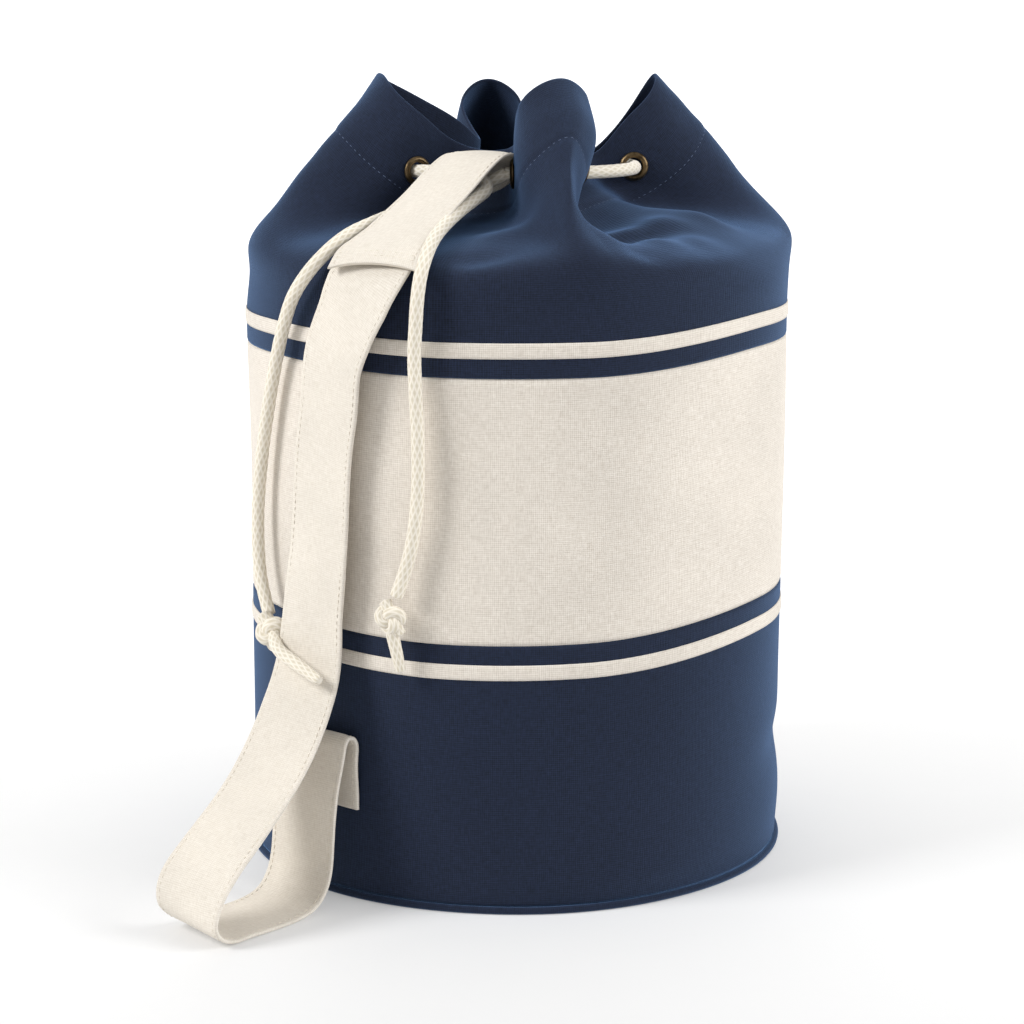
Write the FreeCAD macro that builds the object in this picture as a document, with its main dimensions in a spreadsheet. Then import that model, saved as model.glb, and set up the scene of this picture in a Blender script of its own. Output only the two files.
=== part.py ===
"""Drawstring duffel sack of canvas, standing on its round base.

Millimetres, +Z up, origin at the centre of the base's underside.  The front of the
sack faces -Y.  Azimuths are measured from -Y towards +X, about the sack's axis.
"""
import FreeCAD
import Part
import math
import os
import Sketcher

from FreeCAD import Placement, Rotation, Vector

os.makedirs("parts", exist_ok=True)
doc = FreeCAD.newDocument("duffel_sack")

# ---------------------------------------------------------------- driving dimensions

DIMENSIONS = {
    "bag_radius": 148.5,        # outside of the canvas wall
    "cloth_thick": 1.6,         # canvas with its turnings
    "base_radius": 146.6,
    "piping_radius": 2.0,
    "piping_ring": 148.9,
    "wall_foot": 4.1,           # where the wall starts, on top of the piping
    "lower_seam": 143.0,        # navy bottom panel meets the cream panel
    "upper_seam": 280.0,        # cream panel meets the navy top panel
    "tape_width": 8.0,
    "tape_thick": 0.6,
    "tape_gap": 0.3,            # clearance under a tape
    "lower_tape": 125.0,        # lower edge of each tape
    "upper_tape": 290.0,
    "eyelet_bore": 4.8,         # radii of the eyelets
    "eyelet_barrel": 5.4,
    "eyelet_flange": 8.0,
    "eyelet_seat": 1.4,         # half the cloth and its clearance
    "eyelet_rim": 0.9,          # thickness of flange and washer
    "washer_play": 0.05,
    "cord_radius": 3.5,
    "cord_ring": 66.0,          # radius of the gathered ring of cord
    "cord_height": 377.0,
    "strap_width": 45.0,
    "strap_thick": 2.4,
    "sleeve_width": 44.0,
    "sleeve_thick": 1.4,
    "knot_length": 12.0,        # half axes of a knot
    "knot_width": 8.5,
    "knot_depth": 7.5,
}

sheet = doc.addObject("Spreadsheet::Sheet", "dimensions")
for row, (alias, value) in enumerate(DIMENSIONS.items(), start=1):
    sheet.set("A%d" % row, alias)
    sheet.set("B%d" % row, str(value))
    sheet.setAlias("B%d" % row, alias)
doc.recompute()


def size(alias):
    """The value of one driving dimension."""
    return float(sheet.get(alias))


SUB_PARTS = []


def keep(part, label):
    """Names a sub-part and lists it for export."""
    part.Label = label
    SUB_PARTS.append(part)
    return part


def polar(radius, azimuth, height):
    """A point from its distance to the sack's axis, its azimuth in degrees and its height."""
    angle = math.radians(azimuth)
    return Vector(radius * math.sin(angle), -radius * math.cos(angle), height)


def held_shape(label, shape, placement=Placement()):
    """A sub-part whose shape is made with Part's own functions."""
    feature = doc.addObject("Part::Feature", label)
    feature.Shape = shape
    feature.Placement = placement
    return keep(feature, label)


# ------------------------------------------------------------------- turned sub-parts

def origin_plane(body, role):
    """One of a body's own origin planes or axes."""
    return next(item for item in body.Origin.OriginFeatures if item.Role == role)


def evaluate(expression):
    """The value of a sum such as 'bag_radius - cloth_thick' or of a plain number."""
    total = 0.0
    sign = 1.0
    for word in expression.split():
        if word in "+-":
            sign = 1.0 if word == "+" else -1.0
        else:
            total += sign * (size(word) if word in DIMENSIONS else float(word))
    return total


def bound_to_sheet(expression):
    """The same sum written for setExpression."""
    words = expression.split()
    return " ".join("dimensions." + word if word in DIMENSIONS else word for word in words)


def turned_body(label, corners, placement=Placement()):
    """A body turned about Z from a closed outline of straight lines.

    Each corner is (radius, height), both written as sums of the sheet's dimensions.
    """
    body = doc.addObject("PartDesign::Body", label)
    sketch = body.newObject("Sketcher::SketchObject", label + "_outline")
    sketch.AttachmentSupport = [(origin_plane(body, "XZ_Plane"), "")]
    sketch.MapMode = "FlatFace"
    places = [(evaluate(radius), evaluate(height)) for radius, height in corners]
    count = len(corners)
    for index in range(count):
        start = Vector(*places[index], 0)
        end = Vector(*places[(index + 1) % count], 0)
        sketch.addGeometry(Part.LineSegment(start, end), False)
    for index in range(count):
        follow = (index + 1) % count
        sketch.addConstraint(Sketcher.Constraint("Coincident", index, 2, follow, 1))
    for index, corner in enumerate(corners):
        for kind, place, expression in zip(("DistanceX", "DistanceY"), places[index], corner):
            number = sketch.addConstraint(
                Sketcher.Constraint(kind, -1, 1, index, 1, place))
            sketch.setExpression("Constraints[%d]" % number, bound_to_sheet(expression))
    turn = body.newObject("PartDesign::Revolution", label + "_turn")
    turn.Profile = sketch
    turn.ReferenceAxis = (sketch, ["V_Axis"])
    turn.Angle = 360.0
    sketch.Visibility = False
    body.Placement = placement
    return keep(body, label)


def ring_body(label, inner, outer, bottom, top):
    """A tube about Z whose four sizes are expressions on the sheet."""
    return turned_body(label, [(inner, bottom), (outer, bottom), (outer, top), (inner, top)])



def base_disc():
    """The round panel that closes the foot of the sack."""
    body = doc.addObject("PartDesign::Body", "base_panel")
    sketch = body.newObject("Sketcher::SketchObject", "base_panel_outline")
    sketch.AttachmentSupport = [(origin_plane(body, "XY_Plane"), "")]
    sketch.MapMode = "FlatFace"
    sketch.addGeometry(Part.Circle(Vector(0, 0, 0), Vector(0, 0, 1), size("base_radius")), False)
    sketch.addConstraint(Sketcher.Constraint("Coincident", 0, 3, -1, 1))
    number = sketch.addConstraint(Sketcher.Constraint("Radius", 0, size("base_radius")))
    sketch.setExpression("Constraints[%d]" % number, "dimensions.base_radius")
    pad = body.newObject("PartDesign::Pad", "base_panel_pad")
    pad.Profile = sketch
    pad.setExpression("Length", "dimensions.cloth_thick")
    sketch.Visibility = False
    return keep(body, "base_panel")


def torus(label, ring_radius, pipe_radius, height):
    """A whole ring about Z, its sizes written as sums of the sheet's dimensions."""
    ring = doc.addObject("Part::Torus", label)
    ring.setExpression("Radius1", bound_to_sheet(ring_radius))
    ring.setExpression("Radius2", bound_to_sheet(pipe_radius))
    ring.setExpression("Placement.Base.z", bound_to_sheet(height))
    return keep(ring, label)


def wall_panels():
    """Base, piping, two straight wall panels and the two cream tapes."""
    base_disc()
    torus("base_piping", "piping_ring", "piping_radius", "piping_radius")
    ring_body("bottom_panel", "bag_radius - cloth_thick", "bag_radius",
              "wall_foot", "lower_seam")
    ring_body("middle_panel", "bag_radius - cloth_thick", "bag_radius",
              "lower_seam", "upper_seam")
    for label, foot in (("lower_stripe_tape", "lower_tape"), ("upper_stripe_tape", "upper_tape")):
        ring_body(label, "bag_radius + tape_gap", "bag_radius + tape_gap + tape_thick",
                  foot, foot + " + tape_width")


# ------------------------------------------------------- top panel and gathered mouth

# Four lobes stand round the mouth.  Each has its azimuth, how wide it is against the
# common pattern, and how far its peak is drawn out and up.
LOBES = {
    "front": (18.0, 1.00, 0.0, 0.0),
    "right": (108.0, 0.75, 4.0, 0.0),
    "back": (191.0, 1.00, 2.0, -4.0),
    "left": (288.0, 0.80, -2.0, 1.0),
}

# From the upper seam to the rim, each level holds the key points of half a lobe as
# (distance to the axis, angle off the lobe's middle, height): ridge, shoulder of the
# ridge, flank, foot of the flank, and last the valley that two lobes share.
MOUTH_LEVELS = [
    [(148.5, 0, 280), (148.5, 8, 280), (148.5, 15, 280), (148.5, 28, 280), (148.5, 45, 280)],
    [(148.5, 0, 286), (148.5, 8, 286), (148.5, 15, 286), (148.5, 28, 286), (148.5, 45, 286)],
    [(148.5, 0, 293), (148.5, 8, 293), (148.5, 15, 293), (148.5, 28, 293), (148.5, 45, 293)],
    [(148.5, 0, 301), (148.5, 8, 301), (148.5, 15, 301), (148.5, 28, 301), (148.5, 45, 301)],
    [(149.5, 0, 319), (149, 8, 319), (148.5, 15, 319), (148, 28, 319), (148, 45, 318)],
    [(151, 0, 338), (149, 8, 337), (146, 15, 336), (143, 28, 335), (140, 45, 336)],
    [(137, 0, 355), (133.5, 8.2, 351), (125.5, 15.7, 346), (123, 26, 344), (120, 45, 347)],
    [(122, 0, 374), (116.5, 9, 367), (101.5, 15, 355.5), (91.5, 23.5, 350.5), (92, 45, 355)],
    [(104, 0, 397), (96.5, 10.7, 387), (78.5, 17, 368), (60.5, 21.7, 357.5), (60, 45, 361)],
    [(94.5, 0, 408), (86, 12, 399), (68.3, 18, 381), (47.5, 20.5, 369), (44, 45, 370)],
    [(78, 0, 427), (72.8, 12.7, 418.5), (58.5, 17, 403), (41.6, 18.5, 391), (32, 45, 388.5)],
]
# How far each level has taken on a lobe's own width and reach.
LOBE_SHARE = [0, 0, 0, 0, 0, 0, 0.3, 0.6, 0.9, 1, 1]
# The strap presses the valley in front of the left lobe down.
PRESSED_VALLEY = 333.0
PRESS_DEPTH = [0, 0, 0, 0, 0, 1, 4, 6, 6, 3, 1]


def mouth_level(number):
    """The key points round the sack at one level, front lobe first."""
    azimuths = [lobe[0] for lobe in LOBES.values()]
    share = LOBE_SHARE[number]
    points = []
    for index, (azimuth, width, reach, lift) in enumerate(LOBES.values()):
        after = azimuths[(index + 1) % 4] + (360 if index == 3 else 0)
        before = azimuths[index - 1] - (360 if index == 0 else 0)
        ridge, shoulder, flank, foot, valley = MOUTH_LEVELS[number]
        spread = 1 + (width - 1) * share
        half_lobe = []
        for radius, angle, height in (foot, flank, shoulder, ridge):
            outward = (radius - 40.0) / 60.0 if share else 0.0
            drawn = share * max(0.0, min(1.0, outward))
            half_lobe.append((radius + reach * drawn, angle * spread, height + lift * drawn))
        for radius, angle, height in half_lobe:
            points.append(polar(radius, azimuth - angle, height))
        for radius, angle, height in reversed(half_lobe[:-1]):
            points.append(polar(radius, azimuth + angle, height))
        middle = (azimuth + after) / 2
        pressed = PRESS_DEPTH[number] if abs(middle - PRESSED_VALLEY) < 5 else 0
        points.append(polar(valley[0], middle, valley[2] - pressed))
    return points


def closed_curve(points):
    """A smooth closed curve through points."""
    curve = Part.BSplineCurve()
    curve.interpolate(Points=points, PeriodicFlag=True)
    return Part.Wire([curve.toShape()])


def loft_skin(levels):
    """The open skin through a stack of closed curves."""
    return Part.makeLoft([closed_curve(points) for points in levels], False, False)


def closed_edges(skin):
    """The lower and the upper edge of a skin."""
    edges = [edge for edge in skin.Edges if edge.isClosed()]
    return sorted(edges, key=lambda edge: edge.BoundBox.ZMin)


def mouth_solid():
    """The navy top panel: a wall of cloth with its eight eyelet holes not yet cut."""
    outer_levels = [mouth_level(number) for number in range(len(MOUTH_LEVELS))]
    outer = loft_skin(outer_levels)
    surface = outer.Faces[0].Surface
    inner_levels = []
    for points in outer_levels:
        row = []
        for point in points:
            normal = surface.normal(*surface.parameter(point))
            if normal.dot(Vector(point.x, point.y, 0)) < 0 and point.z < 320:
                normal = -normal
            row.append(point - normal * size("cloth_thick"))
        inner_levels.append(row)
    inner = loft_skin(inner_levels)
    rims = [Part.makeRuledSurface(closed_curve(outer_levels[end]), Part.Wire([inside]))
            for end, inside in zip((0, -1), closed_edges(inner))]
    shell = Part.makeShell(outer.Faces + inner.Faces + rims[0].Faces + rims[1].Faces)
    shell.sewShape()
    return Part.makeSolid(shell), outer, inner


def azimuth_of(point):
    """A point's azimuth in degrees, counted up from the valley that the strap presses."""
    angle = math.degrees(math.atan2(point.x, -point.y))
    return (angle - PRESSED_VALLEY) % 360 + PRESSED_VALLEY


def cord_crossings(skin):
    """Where the ring of cord goes through a skin, in order of azimuth."""
    ring = Part.makeCircle(size("cord_ring"), Vector(0, 0, size("cord_height")))
    points = [vertex.Point for vertex in skin.section(ring).Vertexes]
    return sorted(points, key=azimuth_of)


def eyelet_places(outer, inner):
    """Eight placements whose Z looks out of the cloth, at the middle of its thickness."""
    surface = outer.Faces[0].Surface
    places = []
    for skin_point, lining_point in zip(cord_crossings(outer), cord_crossings(inner)):
        normal = surface.normal(*surface.parameter(skin_point))
        if normal.dot(skin_point - lining_point) < 0:
            normal = -normal
        middle = (skin_point + lining_point) / 2
        places.append(Placement(middle, Rotation(Vector(0, 0, 1), normal)))
    return places


def eyelets(places):
    """A flanged barrel and its rolled washer in each hole."""
    front = "eyelet_seat"
    face = "eyelet_seat + eyelet_rim"
    back = "0 - eyelet_seat - eyelet_rim"
    for number, place in enumerate(places, start=1):
        turned_body("eyelet_%d" % number,
                    [("eyelet_bore", back), ("eyelet_barrel", back), ("eyelet_barrel", front),
                     ("eyelet_flange", front), ("eyelet_flange", face), ("eyelet_bore", face)],
                    place)
        inner = "eyelet_barrel + washer_play"
        turned_body("eyelet_washer_%d" % number,
                    [(inner, back), ("eyelet_flange", back), ("eyelet_flange", "0 - eyelet_seat"),
                     (inner, "0 - eyelet_seat")],
                    place)


def pierced(solid, places):
    """The cloth with a hole for each eyelet's barrel."""
    radius = size("eyelet_barrel") + 0.2
    depth = 8.0
    punches = []
    for place in places:
        direction = place.Rotation.multVec(Vector(0, 0, 1))
        punches.append(Part.makeCylinder(radius, depth, place.Base - direction * (depth / 2),
                                         direction))
    return solid.cut(punches)


# ------------------------------------------------------------------ cord, strap, knots

RING_START = 356.0          # azimuths of the two ends of the cord's ring
RING_END = 306.5


def cord_ring():
    """The stretch of cord that the eyelets hold, from the front lobe round to the left."""
    ring = doc.addObject("Part::Torus", "drawcord_ring")
    ring.setExpression("Radius1", "dimensions.cord_ring")
    ring.setExpression("Radius2", "dimensions.cord_radius")
    ring.Angle3 = (RING_END - RING_START) % 360
    turn = Rotation(Vector(0, 0, 1), RING_START - 90.0)
    ring.Placement = Placement(Vector(0, 0, size("cord_height")), turn)
    return keep(ring, "drawcord_ring")


def rounded_path(route):
    """Straight runs joined by tangent arcs, each as large as its two runs allow."""
    edges = []
    radii = []
    start = route[0]
    for before, corner, after in zip(route, route[1:], route[2:]):
        inward = (corner - before).normalize()
        outward = (after - corner).normalize()
        turn = inward.getAngle(outward)
        reach = 0.45 * min(corner.distanceToPoint(before), corner.distanceToPoint(after))
        radius = reach / math.tan(turn / 2)
        radii.append(radius)
        first = corner - inward * reach
        last = corner + outward * reach
        bisector = (outward - inward).normalize()
        centre = corner + bisector * (radius / math.cos(turn / 2))
        middle = centre - bisector * radius
        edges.append(Part.LineSegment(start, first).toShape())
        edges.append(Part.Arc(first, middle, last).toShape())
        start = last
    edges.append(Part.LineSegment(start, route[-1]).toShape())
    return Part.Wire(edges), radii


def cord_tube(label, route):
    """A round tube along a cord's route, with its length and bend radii printed."""
    path, radii = rounded_path(route)
    radius = size("cord_radius")
    section = Part.Wire([Part.makeCircle(radius, route[0], route[1] - route[0])])
    tube = path.makePipeShell([section], True, False)
    expected = math.pi * radius * radius * path.Length
    print("%s: length %.1f, radii %s, volume ratio %.4f" % (
        label, path.Length, [round(value) for value in radii], tube.Volume / expected))
    return tube


def in_plane(azimuth, out, side, height):
    """A point from a vertical plane through the axis: distance out in the plane, distance
    to the side of it (towards smaller azimuths), and height."""
    angle = math.radians(azimuth)
    outward = Vector(math.sin(angle), -math.cos(angle), 0)
    sideways = Vector(-math.cos(angle), -math.sin(angle), 0)
    return outward * out + sideways * side + Vector(0, 0, height)


def flat_band(points, azimuth, shift, width, thick):
    """A strip of cloth whose middle follows (out, height) points in a vertical plane
    that stands off the axis by a shift to the side."""
    middle = Part.BSplineCurve()
    middle.interpolate([Vector(out, 0, height) for out, height in points])
    steps = 6 * (len(points) - 1)
    first, last = middle.FirstParameter, middle.LastParameter
    sides = ([], [])
    for step in range(steps + 1):
        place = first + (last - first) * step / steps
        point = middle.value(place)
        along = middle.getD1(place)[1].normalize()
        for side, offset in zip(sides, (thick / 2, -thick / 2)):
            side.append(in_plane(azimuth, point.x - along.z * offset, shift - width / 2,
                                 point.z + along.x * offset))
    edges = []
    for side in sides:
        curve = Part.BSplineCurve()
        curve.interpolate(side)
        edges.append(curve.toShape())
    edges.append(Part.LineSegment(sides[0][0], sides[1][0]).toShape())
    edges.append(Part.LineSegment(sides[0][-1], sides[1][-1]).toShape())
    face = Part.Face(Part.Wire(Part.__sortEdges__(edges)))
    return face.extrude(in_plane(azimuth, 0, width, 0))


# Middle line of the canvas loop that the cords run through: from its hem on the
# shoulder, up and over the cords, and back under them, as (out, height).
SLEEVE_AZIMUTH = 325.0
SLEEVE_SHIFT = -8.4
SLEEVE_LINE = [(152.4, 334.6), (145, 339.8), (136, 343.9), (122, 349.5), (107, 356.5), (93, 365.5),
               (81, 374.5), (71, 381.5), (62, 384), (54, 382.5), (49.8, 377.5), (49.8, 371),
               (53, 363), (59, 358.3), (68, 355.6), (80, 352.6), (95, 350), (110, 346.8),
               (122, 344.2)]

# Stations down the middle of the strap from the sleeve to where it swings free:
# (azimuth that it faces, distance out that way, shift to the side, height).
STRAP_LINE = [(325.0, 113, -11, 348.6), (325.0, 124, -11, 346.2), (325.0, 136, -11, 340.6),
              (325.0, 145, -11, 335.4), (325.4, 151.6, -8, 327), (325.6, 153.0, -4.5, 314),
              (324.8, 153.2, -1.5, 298), (323.0, 153.2, 0, 276), (320.8, 153.2, 0, 248),
              (319.4, 154.2, 0, 215), (319.0, 156.2, 0, 180), (319.0, 160.0, 0, 145),
              (319.0, 165.2, 0, 122), (319.0, 170.6, 0, 110)]

STRAP_AZIMUTH = 319.0

# The free bight and the sewn lower end, in the strap's plane: down, along the ground,
# back up, over the fold and down the wall.
BIGHT_LINE = [(162.5, 133), (166.6, 118), (173, 105), (183, 89), (200, 69), (221, 51), (237.5, 36),
              (246.5, 22), (246.5, 10), (239, 3.2), (226, 1.7), (208, 1.5), (192, 2),
              (180, 6), (173, 15), (169.6, 30), (168, 48), (166, 66), (162, 82),
              (157, 87.2), (152.4, 82), (150.2, 70), (150.2, 56), (150.2, 44)]
UPPER_JOIN = 110.0          # heights where the free bight meets the held strap
LOWER_JOIN = 50.0
JOIN_GAP = 0.3


def upper_strap():
    """The held strap, lofted through its stations, ending level at the upper join."""
    width, thick = size("strap_width"), size("strap_thick")
    points = [in_plane(*station) for station in STRAP_LINE]
    sections = []
    for index, (azimuth, _out, _side, _height) in enumerate(STRAP_LINE):
        before = points[max(index - 1, 0)]
        after = points[min(index + 1, len(points) - 1)]
        tangent = (after - before).normalize()
        if index == len(points) - 1:
            tangent = Vector(0, 0, -1)
        side = in_plane(azimuth, 0, 1, 0)
        side = (side - tangent * side.dot(tangent)).normalize() * (width / 2)
        normal = tangent.cross(side).normalize() * (thick / 2)
        corners = [points[index] + side * across + normal * through
                   for across, through in ((1, 1), (1, -1), (-1, -1), (-1, 1), (1, 1))]
        sections.append(Part.makePolygon(corners))
    return Part.makeLoft(sections, True, True)


def plane_box(out_from, out_to, low, high):
    """A box across the strap's plane, for cutting its bight."""
    reach = 60.0
    box = Part.makeBox(reach, out_to - out_from, high - low,
                       Vector(-reach / 2, -out_to, low))
    box.rotate(Vector(0, 0, 0), Vector(0, 0, 1), STRAP_AZIMUTH)
    return box


def strap_pieces():
    """The sleeve, the held strap, the free bight and the sewn end."""
    sleeve = flat_band(SLEEVE_LINE, SLEEVE_AZIMUTH, SLEEVE_SHIFT, size("sleeve_width"),
                       size("sleeve_thick"))
    held_shape("strap_sleeve", sleeve)
    held_shape("shoulder_strap", upper_strap())
    whole = flat_band(BIGHT_LINE, STRAP_AZIMUTH, 0, size("strap_width"), size("strap_thick"))
    above = plane_box(155, 176, UPPER_JOIN - JOIN_GAP, 160)
    sewn = plane_box(140, 174.5, LOWER_JOIN, 96)
    cleared = plane_box(140, 174.5, LOWER_JOIN - JOIN_GAP, 96)
    patch = plane_box(140, 155, 30, 96)
    held_shape("strap_bight", whole.cut([above, cleared, patch]))
    held_shape("strap_sewn_end", whole.common(sewn.fuse(patch)))


# Routes of the two free ends of the cord.  Each leaves the ring at an eyelet, passes
# through the sleeve and drapes over the shoulder as far as its pivot, then hangs.
LEFT_DRAPE = [(-4.6, -65.8, 377), (-17, -63.8, 370.6), (-34, -63.6, 364.5), (-53, -66, 360.5),
              (-71, -70.5, 356.5), (-84, -80, 352.3), (-92.8, -92.5, 348.5), (-100.3, -104.2, 342),
              (-108, -110.6, 331), (-114, -106.4, 317.5), (-118, -101.8, 305)]
LEFT_HANG = [(-118, -101.8, 305), (-121.8, -97.6, 291), (-126, -92.4, 272), (-130.4, -86.6, 249),
             (-134.2, -80.8, 224), (-136.6, -77.6, 200), (-136.6, -79, 178), (-134.6, -84, 160),
             (-130, -92, 147)]
RIGHT_DRAPE = [(-53.05, -39.3, 377), (-43.4, -51.2, 377.5), (-31, -61.8, 377.5), (-18, -70, 375.5),
               (-11.5, -80, 367.5), (-18.5, -90.5, 357.3), (-27, -101.5, 352.6), (-34.2, -114.8, 349.4),
               (-41, -127.2, 346), (-46.8, -137.8, 340), (-49.2, -145.6, 331), (-50, -148.4, 318),
               (-50, -147.2, 306)]
RIGHT_HANG = [(-50, -147.2, 306), (-50.2, -147.4, 292), (-49.4, -147.8, 270), (-48.2, -148.2, 245),
              (-48.6, -148.2, 220), (-51.2, -147.8, 198), (-55.4, -147.4, 181), (-60, -148, 169)]
LEFT_KNOT = (-126.5, -97.0, 138.5)
RIGHT_KNOT = (-62.0, -148.5, 158.0)
LEFT_END = [(-127, -97, 138), (-130, -115, 133), (-118, -131, 128.5), (-103, -142.5, 123.5)]
RIGHT_END = [(-62.5, -148.5, 152), (-60.5, -147.6, 141), (-58, -147.2, 130)]


def knot(label, centre, tilt):
    """A tied overhand knot as one rounded solid."""
    ball = doc.addObject("Part::Ellipsoid", label)
    ball.setExpression("Radius1", "dimensions.knot_depth")
    ball.setExpression("Radius2", "dimensions.knot_length")
    ball.setExpression("Radius3", "dimensions.knot_width")
    azimuth = azimuth_of(Vector(*centre))
    facing = Rotation(Vector(0, 0, 1), azimuth - 90) * Rotation(Vector(0, 1, 0), 90)
    ball.Placement = Placement(Vector(*centre), facing * Rotation(Vector(0, 0, 1), tilt))
    doc.recompute()
    return keep(ball, label)


def free_cord(side, drape, hang, knot_centre, tilt, end):
    """One free end of the cord: drape, hanging length, knot and loose tip."""
    radius = size("cord_radius")
    ball = knot(side + "_knot", knot_centre, tilt)
    draped = cord_tube(side + "_cord_drape", [Vector(*point) for point in drape])
    hanging = cord_tube(side + "_cord_tail", [Vector(*point) for point in hang])
    tip = cord_tube(side + "_cord_tip", [Vector(*point) for point in end])
    pivot = Vector(*hang[0])
    ring = doc.getObject("drawcord_ring").Shape
    held_shape(side + "_cord_drape", draped.cut([ring, Part.makeSphere(radius + 0.3, pivot)]))
    held_shape(side + "_cord_tail", hanging.cut(ball.Shape))
    held_shape(side + "_cord_tip", tip.cut(ball.Shape))


wall_panels()
top_panel, mouth_skin, mouth_lining = mouth_solid()
places = eyelet_places(mouth_skin, mouth_lining)
eyelets(places)
held_shape("top_panel", pierced(top_panel, places))
cord_ring()
strap_pieces()
free_cord("left", LEFT_DRAPE, LEFT_HANG, LEFT_KNOT, 30, LEFT_END)
free_cord("right", RIGHT_DRAPE, RIGHT_HANG, RIGHT_KNOT, 60, RIGHT_END)


# ---------------------------------------------------------------------------- export

doc.recompute()
for item in doc.Objects:
    if "Invalid" in item.State or "Error" in item.State:
        raise RuntimeError(item.Name + " did not compute")
for part in SUB_PARTS:
    shape = part.Shape
    if shape.isNull() or not shape.isValid() or not shape.Solids:
        raise RuntimeError(part.Label + " has no valid solid")
for part in SUB_PARTS:
    part.Shape.exportStep("parts/%s.step" % part.Label)
print(len(SUB_PARTS), "sub-parts written")
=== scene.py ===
"""Looks of a standing canvas drawstring sack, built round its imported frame, in metres.

X is to the viewer's right, -Y towards the viewer and Z up.  Azimuths are in degrees,
counted from -Y towards +X.  Small sizes are written in millimetres and multiplied by MM.
"""
import math

import bmesh
import bpy
import numpy as np
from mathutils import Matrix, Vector, noise


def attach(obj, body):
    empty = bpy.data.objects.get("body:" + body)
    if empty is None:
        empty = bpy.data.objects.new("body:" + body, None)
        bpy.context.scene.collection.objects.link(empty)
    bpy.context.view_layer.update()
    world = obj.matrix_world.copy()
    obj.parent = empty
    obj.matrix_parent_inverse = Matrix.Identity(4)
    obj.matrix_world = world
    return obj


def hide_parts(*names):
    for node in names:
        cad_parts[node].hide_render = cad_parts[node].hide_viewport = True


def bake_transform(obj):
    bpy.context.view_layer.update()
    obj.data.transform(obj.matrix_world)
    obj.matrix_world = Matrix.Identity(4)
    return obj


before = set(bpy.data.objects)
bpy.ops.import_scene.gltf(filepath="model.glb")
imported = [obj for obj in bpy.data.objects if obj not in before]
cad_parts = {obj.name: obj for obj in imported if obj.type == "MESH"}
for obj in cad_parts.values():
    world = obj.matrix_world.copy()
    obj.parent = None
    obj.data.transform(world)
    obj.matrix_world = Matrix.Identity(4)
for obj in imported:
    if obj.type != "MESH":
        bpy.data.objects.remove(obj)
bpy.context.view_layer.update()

MM = 0.001
WALL = 148.5            # outer radius of the cloth wall
CLOTH = 1.6             # thickness of the canvas
BASE_SEAM = 3.6         # height of the seam above the base
NAVY_SEAM = 143.0       # height where the navy cloth meets the cream
CREAM_SEAM = 280.0      # height where the cream cloth meets the top
STRIPE_TALL = 8.0       # the cream tapes on the navy cloth
STRIPE_THICK = 0.6
PIPING_RING = 148.9     # distance of the piping's middle from the axis
PIPING_RADIUS = 2.0
HOLE_RADIUS = 5.6       # of the cut in the cloth inside each eyelet
HEM_DEPTH = 40.0        # of the stitched hem below the rim of the mouth
STRAP_WIDE = 45.0
STRAP_THICK = 2.4
STRAP_AZIMUTH = 319.0   # of the strap's lower half
SLEEVE_WIDE = 48.0
SLEEVE_THICK = 1.5
SLEEVE_CROWN = 1.2      # how far the sleeve's middle is domed over the cords
EDGE_SEAM = 2.6         # from a band's edge to its line of stitching
CORD_RADIUS = 3.5


def placed(name, data):
    """A new object of the scene."""
    item = bpy.data.objects.new(name, data)
    bpy.context.scene.collection.objects.link(item)
    return item


# ---- camera

lens = bpy.data.cameras.new("camera")
lens.sensor_width = 36.0
lens.lens = 89.0
lens.clip_start = 0.05
lens.clip_end = 50.0
camera = placed("camera", lens)
camera.location = (-0.0013, -1.4, 0.454)
camera.rotation_euler = (math.radians(90 - 10.913), 0, 0)
bpy.context.scene.camera = camera


# ---- places and curves

def outward(azimuth):
    """Unit vector away from the axis."""
    angle = math.radians(azimuth)
    return np.array([math.sin(angle), -math.cos(angle), 0.0])


def sideways(azimuth):
    """Unit vector round the sack towards smaller azimuths."""
    angle = math.radians(azimuth)
    return np.array([-math.cos(angle), -math.sin(angle), 0.0])


def in_plane(azimuth, out, side, height):
    """A point in millimetres from a vertical plane through the axis."""
    return outward(azimuth) * out + sideways(azimuth) * side + np.array([0, 0, height])


def ring_points(turns, radius, height):
    """Points round the axis, at azimuths in radians."""
    return np.stack(np.broadcast_arrays(np.sin(turns) * radius, -np.cos(turns) * radius, height),
                    axis=-1)


def unit(vectors):
    """The same directions at length one."""
    return vectors / np.linalg.norm(vectors, axis=-1)[..., None]


def distances(points):
    """How far along a line each of its points is."""
    steps = np.linalg.norm(np.diff(points, axis=0), axis=1)
    return np.concatenate([[0], np.cumsum(steps)])


def along_line(places, along, values):
    """Values at places along a line, between those known at distances along it."""
    return np.stack([np.interp(places, along, values[:, k]) for k in range(3)], axis=1)


def cloth_map(columns, rows):
    """Cloth coordinates for a grid, from those of its columns and its rows."""
    return np.stack(np.broadcast_arrays(columns[None, :], rows[:, None]), axis=2)


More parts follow.
